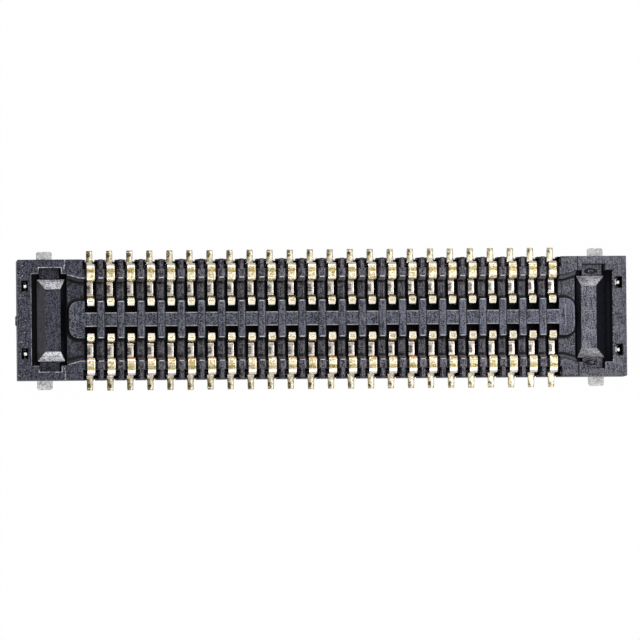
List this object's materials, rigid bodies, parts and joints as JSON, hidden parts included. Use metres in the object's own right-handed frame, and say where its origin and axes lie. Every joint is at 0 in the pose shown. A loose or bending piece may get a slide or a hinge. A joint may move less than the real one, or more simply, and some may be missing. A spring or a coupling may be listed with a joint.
{
  "type": "board to board connector",
  "caption": "Low surface-mount socket with rows of sprung gold contacts on both sides of a central island, end pockets and flat solder hold-downs.",
  "frame": {"origin": "on the circuit board, under the middle of the housing: midway between the first and last contacts and midway between the two rows", "axes": "+X along the rows, to the right in the picture; +Y across them, up in the picture; +Z away from the board, towards the plug"},
  "size_m": [0.0122, 0.0028, 0.0008],
  "materials": {
    "housing": "black moulded liquid crystal polymer, slightly grained",
    "contact": "pale gold plate on copper alloy, with bare nickel in the cup",
    "hold_down": "matt tin plate on sheared copper alloy"
  },
  "bodies": {
    "root": {"housing": "housing", "contact_back_01": "contact", "contact_back_02": "contact", "contact_back_03": "contact", "contact_back_04": "contact", "contact_back_05": "contact", "contact_back_06": "contact", "contact_back_07": "contact", "contact_back_08": "contact", "contact_back_09": "contact", "contact_back_10": "contact", "contact_back_11": "contact", "contact_back_12": "contact", "contact_back_13": "contact", "contact_back_14": "contact", "contact_back_15": "contact", "contact_back_16": "contact", "contact_back_17": "contact", "contact_back_18": "contact", "contact_back_19": "contact", "contact_back_20": "contact", "contact_back_21": "contact", "contact_back_22": "contact", "contact_back_23": "contact", "contact_back_24": "contact", "contact_front_01": "contact", "contact_front_02": "contact", "contact_front_03": "contact", "contact_front_04": "contact", "contact_front_05": "contact", "contact_front_06": "contact", "contact_front_07": "contact", "contact_front_08": "contact", "contact_front_09": "contact", "contact_front_10": "contact", "contact_front_11": "contact", "contact_front_12": "contact", "contact_front_13": "contact", "contact_front_14": "contact", "contact_front_15": "contact", "contact_front_16": "contact", "contact_front_17": "contact", "contact_front_18": "contact", "contact_front_19": "contact", "contact_front_20": "contact", "contact_front_21": "contact", "contact_front_22": "contact", "contact_front_23": "contact", "contact_front_24": "contact", "hold_down_left": "hold_down", "hold_down_right": "hold_down"}
  },
  "joints": []
}
